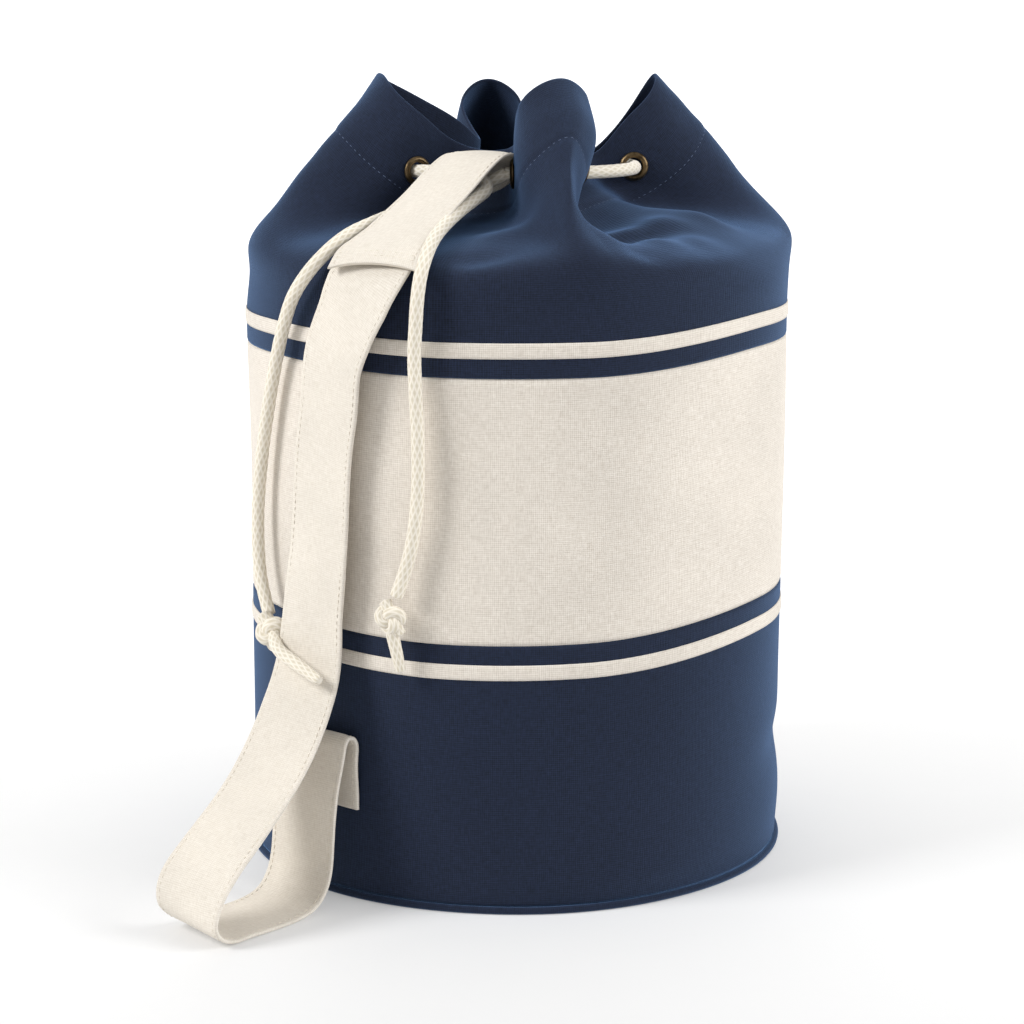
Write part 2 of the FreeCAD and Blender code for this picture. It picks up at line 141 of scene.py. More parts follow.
def spline(points, places, knots=None, closed=False):
    """Values of a smooth cubic curve through points at places along it.

    Places run from 0 to the number of spans.  Knots are the spans' own parameters.
    """
    points = np.asarray(points, float)
    count = len(points)
    spans = count if closed else count - 1
    if knots is None:
        ends = np.roll(points, -1, axis=0)[:spans]
        steps = np.linalg.norm((ends - points[:spans]).reshape(spans, -1), axis=1)
        knots = np.concatenate([[0], np.cumsum(np.maximum(steps, 1e-6))])
    gaps = np.diff(knots)
    flat = points.reshape(count, -1)
    system = np.zeros((count, count))
    goal = np.zeros_like(flat)
    for i in range(count):
        before, after = (i - 1) % count, (i + 1) % count
        if not closed and i in (0, count - 1):
            system[i, i] = 1
            continue
        left, right = gaps[(i - 1) % spans], gaps[i % spans]
        system[i, before] += left
        system[i, i] += 2 * (left + right)
        system[i, after] += right
        goal[i] = 6 * ((flat[after] - flat[i]) / right - (flat[i] - flat[before]) / left)
    bends = np.linalg.solve(system, goal)
    places = np.clip(np.asarray(places, float), 0, spans)
    index = np.minimum(places.astype(int), spans - 1)
    share = (places - index)[:, None]
    after = (index + 1) % count
    gap = gaps[index][:, None]
    low, high = 1 - share, share
    value = (low * flat[index] + high * flat[after]
             + gap ** 2 / 6 * ((low ** 3 - low) * bends[index] + (high ** 3 - high) * bends[after]))
    return value.reshape((len(places),) + points.shape[1:])


def smooth_step(low, high, value):
    """0 below low, 1 above high, and a soft ramp between them."""
    share = np.clip((np.asarray(value, float) - low) / (high - low), 0, 1)
    return share * share * (3 - 2 * share)


def bell(value, middle, wide):
    """1 at the middle, falling smoothly to nothing on either side."""
    return np.exp(-((value - middle) / wide) ** 2)


def wave_noise(points, size, seed):
    """Smooth noise from -1 to 1 at points in millimetres, with lumps of about size."""
    flat = np.asarray(points, float).reshape(-1, 3) / size + seed
    values = np.array([noise.noise(Vector(row)) for row in flat])
    return values.reshape(np.asarray(points).shape[:-1])


# ---- materials

def linear(red, green, blue):
    """A colour given as 0 to 255 screen values, in linear light."""
    def one(value):
        value /= 255.0
        return value / 12.92 if value <= 0.04045 else ((value + 0.055) / 1.055) ** 2.4
    return (one(red), one(green), one(blue), 1.0)


class Nodes:
    """A material under construction, with short calls for adding and joining nodes."""

    def __init__(self, name):
        self.material = bpy.data.materials.new(name)
        self.material.use_nodes = True
        self.tree = self.material.node_tree
        self.shader = self.tree.nodes["Principled BSDF"]

    def feed(self, socket, value):
        if isinstance(value, bpy.types.NodeSocket):
            self.tree.links.new(value, socket)
        else:
            socket.default_value = value

    def add(self, kind, inputs=None, **settings):
        node = self.tree.nodes.new("ShaderNode" + kind)
        for key, value in settings.items():
            setattr(node, key, value)
        for key, value in (inputs or {}).items():
            self.feed(node.inputs[key], value)
        return node

    def math(self, operation, first, second=0.0):
        return self.add("Math", {0: first, 1: second}, operation=operation).outputs[0]

    def mix(self, share, first, second, blend="MIX"):
        node = self.add("Mix", data_type="RGBA", blend_type=blend)
        for number, value in ((0, share), (6, first), (7, second)):
            self.feed(node.inputs[number], value)
        return node.outputs[2]

    def noise(self, place, scale, detail, roughness=0.5):
        return self.add("TexNoise", {"Vector": place, "Scale": scale, "Detail": detail,
                                     "Roughness": roughness}).outputs["Fac"]

    def remap(self, value, low, high, new_low=0.0, new_high=1.0):
        return self.add("MapRange", {"Value": value, "From Min": low, "From Max": high,
                                     "To Min": new_low, "To Max": new_high}).outputs[0]

    def bump(self, height, strength, distance):
        return self.add("Bump", {"Height": height, "Strength": strength,
                                 "Distance": distance}).outputs["Normal"]

    def finish(self, **inputs):
        for key, value in inputs.items():
            self.feed(self.shader.inputs[key.replace("_", " ")], value)
        return self.material


WAVE_SCALE = 0.3142     # of the wave texture, for one thread in each unit of cloth


def canvas(name, base, deep, thread_mm, sheen, sheen_tint, depth, slub):
    """Plain woven cotton: crossing threads, slubs, soft blotches and a dusty sheen.

    Depth is the strength of the relief and slub the slubs' share of the pattern.
    """
    made = Nodes(name)
    place = made.add("TexCoord").outputs["UV"]
    scale = WAVE_SCALE / (thread_mm * MM)
    weave = [made.add("TexWave", {"Vector": place, "Scale": scale, "Distortion": 1.2,
                                  "Detail": 1.0, "Detail Scale": 0.6},
                      wave_type="BANDS", bands_direction=direction).outputs["Fac"]
             for direction in ("X", "Y")]
    threads = made.math("MULTIPLY", made.math("ADD", weave[0], weave[1]), 0.5)
    slubs = [made.noise(made.add("Mapping", {"Vector": place, "Scale": stretch}).outputs[0],
                        0.45, 3.0, 0.6) for stretch in ((420, 2600, 1), (2600, 420, 1))]
    slubbed = made.math("MULTIPLY", made.math("ADD", slubs[0], slubs[1]), 0.5)
    grain = made.noise(place, 900.0, 2.0)
    blotch = made.noise(place, 14.0, 4.0, 0.55)
    fine = made.math("ADD", made.math("MULTIPLY", slubbed, slub),
                     made.math("MULTIPLY", threads, 1 - slub))
    tone = made.mix(made.remap(fine, 0.28, 0.72), deep, base)
    tone = made.mix(1.0, tone, made.remap(blotch, 0.3, 0.7, 0.93, 1.06), "MULTIPLY")
    height = made.math("ADD", made.math("MULTIPLY", threads, 0.4),
                       made.math("ADD", made.math("MULTIPLY", slubbed, 0.7),
                                 made.math("MULTIPLY", grain, 0.4)))
    normal = made.bump(height, depth, 0.35 * MM)
    return made.finish(Base_Color=tone, Roughness=0.88, Sheen_Weight=sheen,
                       Sheen_Roughness=0.45, Sheen_Tint=sheen_tint,
                       Specular_IOR_Level=0.25, Normal=normal)


def cotton(name, base, deep):
    """Braided cotton cord: pale crowns, with painted shade darkening the hollows between the
    plaits.
    """
    made = Nodes(name)
    place = made.add("TexCoord").outputs["UV"]
    hollow = made.add("Attribute", attribute_name="hollow").outputs["Fac"]
    fluff = made.noise(place, 700.0, 3.0)
    blotch = made.noise(place, 60.0, 2.0)
    # Painted shade: the plaits' hollows are darkened towards the deep colour, with random fluff
    # mixed in.
    hollow_shade_and_fluff = made.math("ADD", hollow, made.math("MULTIPLY", fluff, 0.35))
    tone = made.mix(made.math("MULTIPLY", hollow_shade_and_fluff, 0.75), base, deep)
    tone = made.mix(1.0, tone, made.remap(blotch, 0.0, 1.0, 0.92, 1.06), "MULTIPLY")
    normal = made.bump(fluff, 0.25, 0.3 * MM)
    return made.finish(Base_Color=tone, Roughness=0.9, Sheen_Weight=0.25, Sheen_Roughness=0.5,
                       Specular_IOR_Level=0.2, Normal=normal)


def brass(name):
    """Antique brass with a patchy patina: darker and rougher in some places, brighter and smoother
    in others.
    """
    made = Nodes(name)
    place = made.add("TexCoord").outputs["Object"]
    patina = made.noise(place, 260.0, 5.0, 0.65)
    tone = made.mix(made.remap(patina, 0.35, 0.65), linear(66, 54, 38), linear(116, 98, 72))
    rough = made.remap(patina, 0.0, 1.0, 0.5, 0.28)
    normal = made.bump(patina, 0.15, 0.2 * MM)
    return made.finish(Base_Color=tone, Metallic=1.0, Roughness=rough, Normal=normal)


NAVY = canvas("navy_canvas", linear(33, 42, 66), linear(6, 9, 17), 1.05, 1.0,
              linear(108, 144, 192), 0.65, 0.75)
NAVY_INSIDE = canvas("navy_inside", linear(36, 43, 60), linear(22, 27, 40), 0.85, 0.1,
                     linear(120, 135, 160), 0.4, 0.5)
CREAM = canvas("cream_canvas", linear(238, 232, 223), linear(194, 184, 171), 1.05, 0.1,
               linear(255, 252, 246), 0.35, 0.75)
WEBBING = canvas("cream_webbing", linear(234, 228, 218), linear(204, 195, 181), 1.0, 0.1,
                 linear(255, 252, 246), 0.4, 0.75)
# The cord's second colour is the painted shade in the hollows between its plaits.
CORD = cotton("cotton_cord", linear(242, 236, 225), linear(206, 196, 174))
THREAD_BLUE = Nodes("blue_thread").finish(Base_Color=linear(96, 112, 142), Roughness=0.7)
THREAD_CREAM = Nodes("cream_thread").finish(Base_Color=linear(224, 216, 202), Roughness=0.7)
BRASS = brass("antique_brass")


# ---- mesh building

def grid_mesh(name, points, uv, holes=()):
    """A mesh from closed rings of points in millimetres; uv is in millimetres too.

    Faces within HOLE_RADIUS of one of the holes' centres are left out.
    """
    rows, columns = points.shape[:2]
    faces = []
    corners = []
    for row in range(rows - 1):
        for column in range(columns):
            following = (column + 1) % columns
            if len(holes):
                middle = (points[row, column] + points[row + 1, following]) / 2
                if np.linalg.norm(holes - middle, axis=1).min() < HOLE_RADIUS:
                    continue
            faces.append((row * columns + column, row * columns + following,
                          (row + 1) * columns + following, (row + 1) * columns + column))
            corners.extend([(row, column), (row, column + 1), (row + 1, column + 1),
                            (row + 1, column)])
    mesh = bpy.data.meshes.new(name)
    mesh.from_pydata((points.reshape(-1, 3) * MM).tolist(), [], faces)
    layer = mesh.uv_layers.new(name="cloth")
    flat = np.array([uv[row, column] for row, column in corners]) * MM
    layer.data.foreach_set("uv", flat.astype(np.float32).ravel())
    mesh.polygons.foreach_set("use_smooth", [True] * len(mesh.polygons))
    return placed(name, mesh)


def settle(piece):
    """Applies a piece's modifiers to its mesh."""
    graph = bpy.context.evaluated_depsgraph_get()
    mesh = bpy.data.meshes.new_from_object(piece.evaluated_get(graph),
                                           preserve_all_data_layers=True, depsgraph=graph)
    piece.modifiers.clear()
    piece.data = mesh
    return piece


def weld(piece):
    """Joins the two copies of a row where rows of points close on themselves."""
    joining = piece.modifiers.new("weld", "WELD")
    joining.merge_threshold = 0.01 * MM
    return settle(piece)


def thicken(piece, thick, smooth=0):
    """Gives an open skin its thickness, inwards, and rounds it smooth times."""
    solid = piece.modifiers.new("thickness", "SOLIDIFY")
    solid.thickness = thick * MM
    solid.offset = -1.0
    solid.use_even_offset = True
    solid.material_offset = 1
    if smooth:
        rounding = piece.modifiers.new("rounding", "SUBSURF")
        rounding.levels = smooth
        rounding.render_levels = smooth
    return settle(piece)


def dress(piece, slot, *materials):
    """Gives a piece its materials.  The slot is not used."""
    piece.data.materials.clear()
    for material in materials:
        piece.data.materials.append(material)
    return piece


# Shape of one stitch along its length, in thread radii: rise over the cloth and thickness.
STITCH_RISE = np.array([-0.9, 0.35, 0.6, 0.35, -0.9])
STITCH_SIZE = np.array([0.55, 0.95, 1.0, 0.95, 0.55])
STITCH_SINK = 0.05


def stitches(name, points, normals, material, length, gap, radius):
    """A row of short thread lengths lying along a line on a cloth face."""
    along = distances(points)
    rise = STITCH_RISE * radius - STITCH_SINK
    size = STITCH_SIZE * radius
    vertices, faces = [], []
    start = gap
    while start + length < along[-1]:
        places = np.linspace(start, start + length, 5)
        line = along_line(places, along, points)
        lift = unit(along_line(places, along, normals))
        side = np.cross(lift, unit(np.gradient(line, axis=0)))
        base = len(vertices)
        for k in range(5):
            for turn in range(6):
                angle = turn * math.pi / 3
                spot = (line[k] + lift[k] * (rise[k] + math.sin(angle) * size[k])
                        + side[k] * math.cos(angle) * size[k])
                vertices.append(spot * MM)
        for k in range(4):
            for turn in range(6):
                after = (turn + 1) % 6
                faces.append((base + k * 6 + turn, base + k * 6 + after,
                              base + (k + 1) * 6 + after, base + (k + 1) * 6 + turn))
        faces.append(tuple(base + turn for turn in reversed(range(6))))
        faces.append(tuple(base + 24 + turn for turn in range(6)))
        start += length + gap
    mesh = bpy.data.meshes.new(name)
    mesh.from_pydata([tuple(spot) for spot in vertices], [], faces)
    mesh.polygons.foreach_set("use_smooth", [True] * len(mesh.polygons))
    mesh.materials.append(material)
    return placed(name, mesh)


# ---- cords

# Points of the two free cord ends, in millimetres, near the routes of the frame's cord solids: over
# the shoulder to the pivot, then hanging.
LEFT_DRAPE = [(-4.6, -65.8, 377), (-17, -63.8, 370.6), (-34, -65, 364.5), (-51, -70, 360),
              (-65, -78, 356), (-76, -89, 352), (-85, -101, 348.5), (-94, -112, 342),
              (-105, -114.5, 330.5), (-113.5, -107.5, 317.5), (-118, -101.8, 305)]
LEFT_HANG = [(-121.8, -97.6, 291), (-126, -92.4, 272), (-130.4, -86.6, 249),
             (-134.2, -80.8, 224), (-136.6, -77.6, 200), (-136.6, -79, 178), (-134.6, -84, 160),
             (-130, -92, 147)]
RIGHT_DRAPE = [(-53.05, -39.3, 377), (-43.4, -51.2, 377.5), (-31, -61.8, 377.5), (-18, -70, 375.5),
               (-13, -77.5, 370), (-21, -88, 365), (-29.2, -101, 359.4),
               (-36, -114, 353.6), (-40.8, -127, 348), (-44.2, -140, 340.6),
               (-46.8, -147.8, 331.5), (-48.4, -150.6, 319), (-49.2, -149.4, 306)]
RIGHT_HANG = [(-50.2, -147.4, 292), (-49.4, -147.8, 270), (-48.2, -148.2, 245),
              (-48.6, -148.2, 220), (-51.2, -147.8, 198), (-55.4, -147.4, 181), (-60, -148, 169)]
# Loose tips below the knots.
LEFT_TIP = [(-127, -97, 138), (-126, -113, 134), (-114, -130, 130), (-100, -142.5, 123.5)]
RIGHT_TIP = [(-62.5, -148.5, 152), (-60.5, -147.6, 141), (-58, -147.2, 130)]
# The run of cord inside the gathered mouth, between the azimuths of its two ends.
RING_START = 356.0
RING_END = 306.5
RING_POINTS = 220
RING_RADIUS = 66.0
RING_HEIGHT = 377.0


def nurbs_line(name, route):
    """Points of the smooth spline whose control points are the route, in millimetres."""
    curve = bpy.data.curves.new(name, "CURVE")
    curve.dimensions = "3D"
    line = curve.splines.new("NURBS")
    line.points.add(len(route) - 1)
    for control, spot in zip(line.points, route):
        control.co = (*spot, 1.0)
    line.order_u = 3
    line.use_endpoint_u = True
    line.resolution_u = 14
    holder = placed(name, curve)
    graph = bpy.context.evaluated_depsgraph_get()
    mesh = bpy.data.meshes.new_from_object(holder.evaluated_get(graph))
    points = np.array([tuple(vertex.co) for vertex in mesh.vertices])
    bpy.data.objects.remove(holder)
    return points


def even_line(points, step):
    """The same line with its points a fixed step apart, and how far along each is."""
    along = distances(points)
    places = np.linspace(0, along[-1], int(round(along[-1] / step)) + 1)
    return along_line(places, along, points), places


def carried_frames(points):
    """Two cross directions at each point of a line, carried along without twisting.

    Returns them with the line's own direction.
    """
    tangents = unit(np.gradient(points, axis=0))
    first = np.zeros_like(points)
    seed = np.array([0.0, 0.0, 1.0]) if abs(tangents[0][2]) < 0.9 else np.array([1.0, 0, 0])
    current = np.cross(tangents[0], seed)
    for index, tangent in enumerate(tangents):
        current = unit(current - tangent * current.dot(tangent))
        first[index] = current
    return first, np.cross(tangents, first), tangents


CORD_AROUND = 48        # mesh columns round a cord
CORD_STEP = 0.6         # and distance between its rings
PLAITS = 8
PLAIT_PITCH = 7.0


def braid(name, line, radius=CORD_RADIUS, taper=0.0):
    """A braided cord along a line in millimetres, its plaits raised in the mesh.

    Taper is the length over which its far end narrows.
    """
    points, along = even_line(line, CORD_STEP)
    first, second, tangents = carried_frames(points)
    angles = np.linspace(0, 2 * math.pi, CORD_AROUND, endpoint=False)
    turn = 2 * math.pi * along[:, None] / PLAIT_PITCH
    one = np.abs(np.cos((PLAITS * angles[None, :] + turn) / 2))
    other = np.abs(np.cos((PLAITS * angles[None, :] - turn) / 2))
    crown = np.maximum(one, other)
    hollow = np.clip(1.0 - (crown - 0.707) / 0.293, 0, 1)
    size = radius * (1.0 - 0.045 * hollow)
    if taper:
        end = np.clip((along[-1] - along) / taper, 0, 1)
        size = size * (0.72 + 0.28 * np.sqrt(end))[:, None]
    ring = (points[:, None, :] + first[:, None, :] * (np.cos(angles)[None, :] * size)[..., None]
            + second[:, None, :] * (np.sin(angles)[None, :] * size)[..., None])
    columns = np.arange(CORD_AROUND + 1) * (2 * math.pi * radius / CORD_AROUND)
    piece = grid_mesh(name, ring, cloth_map(columns, along))
    # The hollows' mask goes to the cord's material, which paints shade into them.
    shade = piece.data.attributes.new("hollow", "FLOAT", "POINT")
    shade.data.foreach_set("value", hollow.astype(np.float32).ravel())
    close_ends(piece.data, [(points[index] + tangents[index] * way * radius * 0.35, index)
                            for index, way in ((0, -1.0), (len(points) - 1, 1.0))])
    return dress(piece, "cotton_cord", CORD)


def close_ends(mesh, caps):
    """Closes a cord's two open ends with fans of faces.

    Caps are the fans' middle points, each with the number of the ring it closes.
    """
    shape = bmesh.new()
    shape.from_mesh(mesh)
    shape.verts.ensure_lookup_table()
    ends = [(spot, row, [shape.verts[row * CORD_AROUND + k] for k in range(CORD_AROUND)])
            for spot, row in caps]
    for spot, row, ring in ends:
        tip = shape.verts.new(Vector(spot * MM))
        order = ring if row else list(reversed(ring))
        for k in range(CORD_AROUND):
            shape.faces.new((order[k], order[(k + 1) % CORD_AROUND], tip)).smooth = True
    shape.to_mesh(mesh)
    shape.free()


def draw_cord(side, drape, hang):
    """One free end of the cord, from its eyelet over the shoulder down to its knot."""
    line = nurbs_line(side + "_line", drape + hang)
    piece = braid(side + "_cord", line)
    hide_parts(side + "_cord_drape", side + "_cord_tail")
    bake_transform(piece)
    return piece, line


left_cord, left_line = draw_cord("left", LEFT_DRAPE, LEFT_HANG)
right_cord, right_line = draw_cord("right", RIGHT_DRAPE, RIGHT_HANG)

ring_turns = np.radians(np.linspace(RING_START, RING_END + 360, RING_POINTS))
ring_cord = braid("cord_in_eyelets", ring_points(ring_turns, RING_RADIUS, RING_HEIGHT))
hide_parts("drawcord_ring")
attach(ring_cord, "sack")


def knot_route(centre, azimuth, lean, size):
    """Points of a tight overhand knot, from the end that hangs out of it to the cord above.

    The cord winds twice round a small ring and three times through it.  Lean turns the
    knot in its upright plane, and size scales it.
    """
    across = -sideways(azimuth)
    angle = math.radians(lean)
    right = across * math.cos(angle) + np.array([0, 0, math.sin(angle)])
    up = np.array([0, 0, math.cos(angle)]) - across * math.sin(angle)
    route = [(1.6, 0, -11.5), (1.6, 0, -8.0)]
    for turn in np.linspace(20, 700, 18):
        through = math.radians(180 + 1.5 * turn)
        reach = 4.5 + 2.9 * math.cos(through)
        route.append((reach * math.cos(math.radians(turn)), 2.9 * math.sin(through),
                      reach * math.sin(math.radians(turn))))
    route += [(1.6, 0, 8.0), (1.6, 0, 11.5)]
    return [tuple(np.array(centre) + size * ((x - 1.6) * right + y * outward(azimuth) + z * up))
            for x, y, z in route]


def draw_knot(side, centre, azimuth, lean, size, tip_route, body):
    """The tied knot and the loose tip below it."""
    line = nurbs_line(side + "_knot_line", knot_route(centre, azimuth, lean, size))
    knot = braid(side + "_knot_tied", line, radius=4.1 * size)
    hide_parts(side + "_knot")
    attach(knot, body)
    tip = braid(side + "_tip_loose", nurbs_line(side + "_tip_line", tip_route), taper=22.0)
    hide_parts(side + "_cord_tip")
    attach(tip, body)
    return knot, tip


left_knot, left_tip = draw_knot("left", (-126.5, -97.0, 138.5), 330.0, 42, 0.98, LEFT_TIP,
                                "left_cord")
right_knot, right_tip = draw_knot("right", (-62.0, -148.5, 158.0), 345.0, 24, 0.80, RIGHT_TIP,
                                  "right_cord")


# ---- wall and base

def swell(azimuth):
    """How far the whole sack stands out beyond a round one."""
    return 1.9 * bell(azimuth, 85, 35) - 0.8 * bell(azimuth, -85, 35)


def rise(azimuth, height):
    """How far the cloth and its seams ride up, highest at the right."""
    right = 7.6 * smooth_step(14, 64, azimuth) - 2.0 * smooth_step(90, 180, azimuth)
    left = 4.0 * smooth_step(14, 64, -azimuth) + 1.6 * smooth_step(90, 180, -azimuth)
    settled = smooth_step(4, 100, height) * (1 - smooth_step(300, 345, height))
    return (right + left) * settled


def wall_radius(azimuth, height):
    """Distance of the cloth wall from the axis: round, with the slack of an empty sack."""
    angle = np.radians(azimuth)
    lean = 0.03 * (height - 215)
    fold = (0.9 * bell(azimuth, lean - 8.5, 3.2)
            - 1.1 * bell(azimuth, lean - 14, 3.6)) * bell(height, 215, 34)
    belly = 0.9 * bell(height, 25, 30) - 0.9 * bell(height, 200, 70)
    drift = (0.55 * np.sin(3 * angle + height / 55.0) + 0.45 * np.sin(5 * angle - height / 38.0)
             + 0.35 * np.sin(2 * angle + height / 90.0 + 1.2))
    dent = -2.6 * bell(azimuth, 83, 14) * bell(height, 56, 11)
    bulge = 0.9 * bell(azimuth, 80, 16) * bell(height, 28, 14)
    fade = smooth_step(0, 18, height) * (1 - smooth_step(262, 290, height))
    loose = 0.35 + 0.65 * smooth_step(8, 70, height)
    return WALL + swell(azimuth) * loose + (belly + drift + dent + bulge + fold) * fade


WALL_COLUMNS = 300
WALL_STEP = 2.0         # height of one row of the wall's mesh
STRIPE_ROWS = 9


def wall_points(low, high, rows, extra=0.0, groove=True):
    """A stretch of wall as rows of points, with its two seam edges pulled in."""
    heights = np.linspace(low, high, rows)
    azimuths = np.linspace(0, 360, WALL_COLUMNS, endpoint=False)
    grid_a, grid_h = np.meshgrid((azimuths + 180) % 360 - 180, heights)
    radius = wall_radius(grid_a, grid_h) + extra
    if groove:
        edge = np.minimum(grid_h - low, high - grid_h)
        radius = radius - 0.5 * (1 - smooth_step(0, 2.2, edge))
    points = ring_points(np.radians(grid_a), radius, grid_h + rise(grid_a, grid_h))
    return points, cloth_map(np.linspace(0, 2 * math.pi * WALL, WALL_COLUMNS + 1), heights)


for name, low, high, outside, inside, slot in (
        ("bottom_wall", BASE_SEAM, NAVY_SEAM, NAVY, NAVY_INSIDE, "navy_canvas"),
        ("middle_wall", NAVY_SEAM, CREAM_SEAM, CREAM, CREAM, "cream_canvas")):
    points, uv = wall_points(low, high, int(round((high - low) / WALL_STEP)) + 1)
    wall = thicken(grid_mesh(name, points, uv), CLOTH)
    dress(wall, slot, outside, inside)
    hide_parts(name.replace("wall", "panel"))
    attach(wall, "sack")

for name, low in (("lower_stripe", 125.0), ("upper_stripe", 290.0)):
    points, uv = wall_points(low, low + STRIPE_TALL, STRIPE_ROWS, extra=0.75, groove=False)
    rounding = 0.45 * np.abs(np.linspace(-1, 1, STRIPE_ROWS))[:, None] ** 6
    points[..., :2] *= 1 - (rounding / WALL)[..., None]
    tape = thicken(grid_mesh(name, points, uv), STRIPE_THICK)
    dress(tape, "cream_canvas", CREAM, CREAM)
    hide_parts(name + "_tape")
    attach(tape, "sack")


def base_and_piping():
    """The flat round base and the piping sewn round its edge."""
    radii = np.concatenate([np.linspace(0.5, 140, 30), [143, 145, 146.2, 146.6]])
    turns = np.radians(np.linspace(0, 360, 180, endpoint=False))
    points = ring_points(turns[None, :], radii[:, None], CLOTH)
    uv = np.concatenate([points, points[:, :1]], axis=1)[..., :2]
    base = thicken(grid_mesh("base_cloth", points, uv), CLOTH)
    dress(base, "navy_canvas", NAVY, NAVY_INSIDE)
    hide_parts("base_panel")
    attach(base, "sack")
    rows, columns = 360, 14
    turns = np.radians(np.linspace(0, 360, rows, endpoint=False))
    section = np.radians(np.linspace(0, 360, columns, endpoint=False))[None, :]
    around = swell((np.degrees(turns) + 180) % 360 - 180)
    ring = PIPING_RING + 0.35 * around + 0.25 * np.sin(7 * turns)
    points = ring_points(turns[:, None], ring[:, None] + PIPING_RADIUS * np.cos(section),
                         PIPING_RADIUS + PIPING_RADIUS * np.sin(section))
    points = np.concatenate([points, points[:1]])
    uv = cloth_map(np.arange(columns + 1) * (2 * math.pi * PIPING_RADIUS / columns),
                   np.arange(rows + 1) * (2 * math.pi * PIPING_RING / rows))
    piping = weld(grid_mesh("piping_round_base", points, uv))
    dress(piping, "navy_canvas", NAVY)
    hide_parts("base_piping")
    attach(piping, "sack")


base_and_piping()


# ---- top and gathered mouth

# The four lobes: azimuth of the ridge, share of the pattern's width, and how far the lobe
# reaches out and up beyond the pattern.
LOBES = [(18.0, 1.00, 0.0, 0.0), (108.0, 0.75, 4.0, 0.0), (191.0, 0.92, 2.0, -6.0),
         (288.0, 0.80, -2.0, 1.0)]
# The pattern of half a lobe at each level, from ridge through shoulder, flank and foot to
# the valley: distance out, angle from the ridge, height.  The lowest levels are round.
MOUTH_LEVELS = [[(WALL, angle, height) for angle in (0, 8, 15, 28, 45)]
                for height in (280, 286, 293, 301)] + [
    [(149.5, 0, 319), (149, 8, 319), (148.5, 15, 319), (148, 28, 319), (148, 45, 318)],
    [(151, 0, 338), (149, 8, 337), (146, 15, 336), (143, 28, 335), (140, 45, 336)],
    [(137, 0, 355), (133.5, 8.2, 351), (125.5, 15.7, 346), (123, 26, 344), (120, 45, 347)],
    [(122, 0, 374), (116.5, 9, 367), (101.5, 15, 355.5), (91.5, 23.5, 350.5), (92, 45, 355)],
    [(104, 0, 397), (96.5, 10.7, 387), (78.5, 17, 368), (60.5, 21.7, 357.5), (60, 45, 361)],
    [(94.5, 0, 408), (86, 12, 399), (68.3, 18, 381), (47.5, 20.5, 369), (44, 45, 370)],
    [(78, 0, 427), (72.8, 12.7, 418.5), (58.5, 17, 403), (41.6, 18.5, 391), (32, 45, 388.5)],
]
# The front lobe is drawn in on its right side: azimuths and places that replace the
# pattern there, from ridge to foot.
FRONT_RIGHT = {
    5: [(151, 15, 338), (149.5, 21, 337), (147, 30, 336), (143, 46, 335)],
    6: [(137, 12.5, 355.5), (134, 16.5, 352.5), (128, 21, 349), (120, 31, 341.5)],
    7: [(122, 13.5, 374), (117, 15.2, 367), (104, 18, 355.5), (92, 25, 344.5)],
    8: [(104, 16, 397), (97, 21.3, 387), (80, 25, 368), (61, 31.5, 356)],
    9: [(94.5, 17.5, 408), (86, 28, 399), (68.3, 32, 381), (47.5, 35, 369)],
}
# Places that replace the pattern in one half of a lobe, by lobe and level, from shoulder to
# foot.  Smaller azimuths: the right lobe's near half and the left lobe's far half, which
# stands higher, so its rim shows over the near one, and has its valley as a fourth place.
SMALLER_HALF = {
    1: {10: [(76, 98.5, 418), (60.5, 95.5, 402), (43, 94, 384)]},
    3: {9: [(87, 277.5, 403), (71, 271, 393), (53, 266, 383), (43, 242, 378)],
        10: [(74, 276.5, 427), (62, 268, 420), (48, 262, 412), (34, 242, 401)]}}
# Larger azimuths: the right lobe closes into a narrow fold, and the left lobe comes further
# round towards the strap.
LARGER_HALF = {
    1: {9: [(89, 117, 397), (71, 121.5, 375), (50, 123, 366)],
        10: [(75, 117.5, 411.5), (61, 120.5, 393), (43, 122, 383)]},
    3: {7: [(116, 296, 366.5), (102, 303, 355.5), (91.5, 308.5, 350)],
        8: [(96, 298.5, 387), (79, 306.5, 369.5), (60.5, 312.5, 357.5)],
        9: [(85.5, 299.5, 401), (68.3, 308, 385), (47.5, 312, 372)],
        10: [(72.8, 300, 419), (58.5, 308, 404.5), (43, 311, 393)]}}
# How far the right and left lobes' corners stand out beyond the pattern at each level,
# with each corner's azimuth and how far round it this fades out.
CORNERS = {1: ([0, 0, 0, 0.5, 4.0, 8.5, 12, 9, 5, 3, 1], 103, 25),
           3: ([0, 0, 0, -0.5, -3.0, -2.6, 0.8, 0.5, -0.5, -2, -3], 285, 35)}
# How much of a lobe's own width, reach and lift shows at each level.
LOBE_SHARE = [0, 0, 0, 0, 0, 0, 0.3, 0.6, 0.9, 1, 1]
# How deep the strap's sleeve presses the valley it lies in at each level.
PRESS_DEPTH = [0, 0, 0, 0, 0, 1, 4, 6, 6, 3, 1]
PRESSED_VALLEY = 333.0


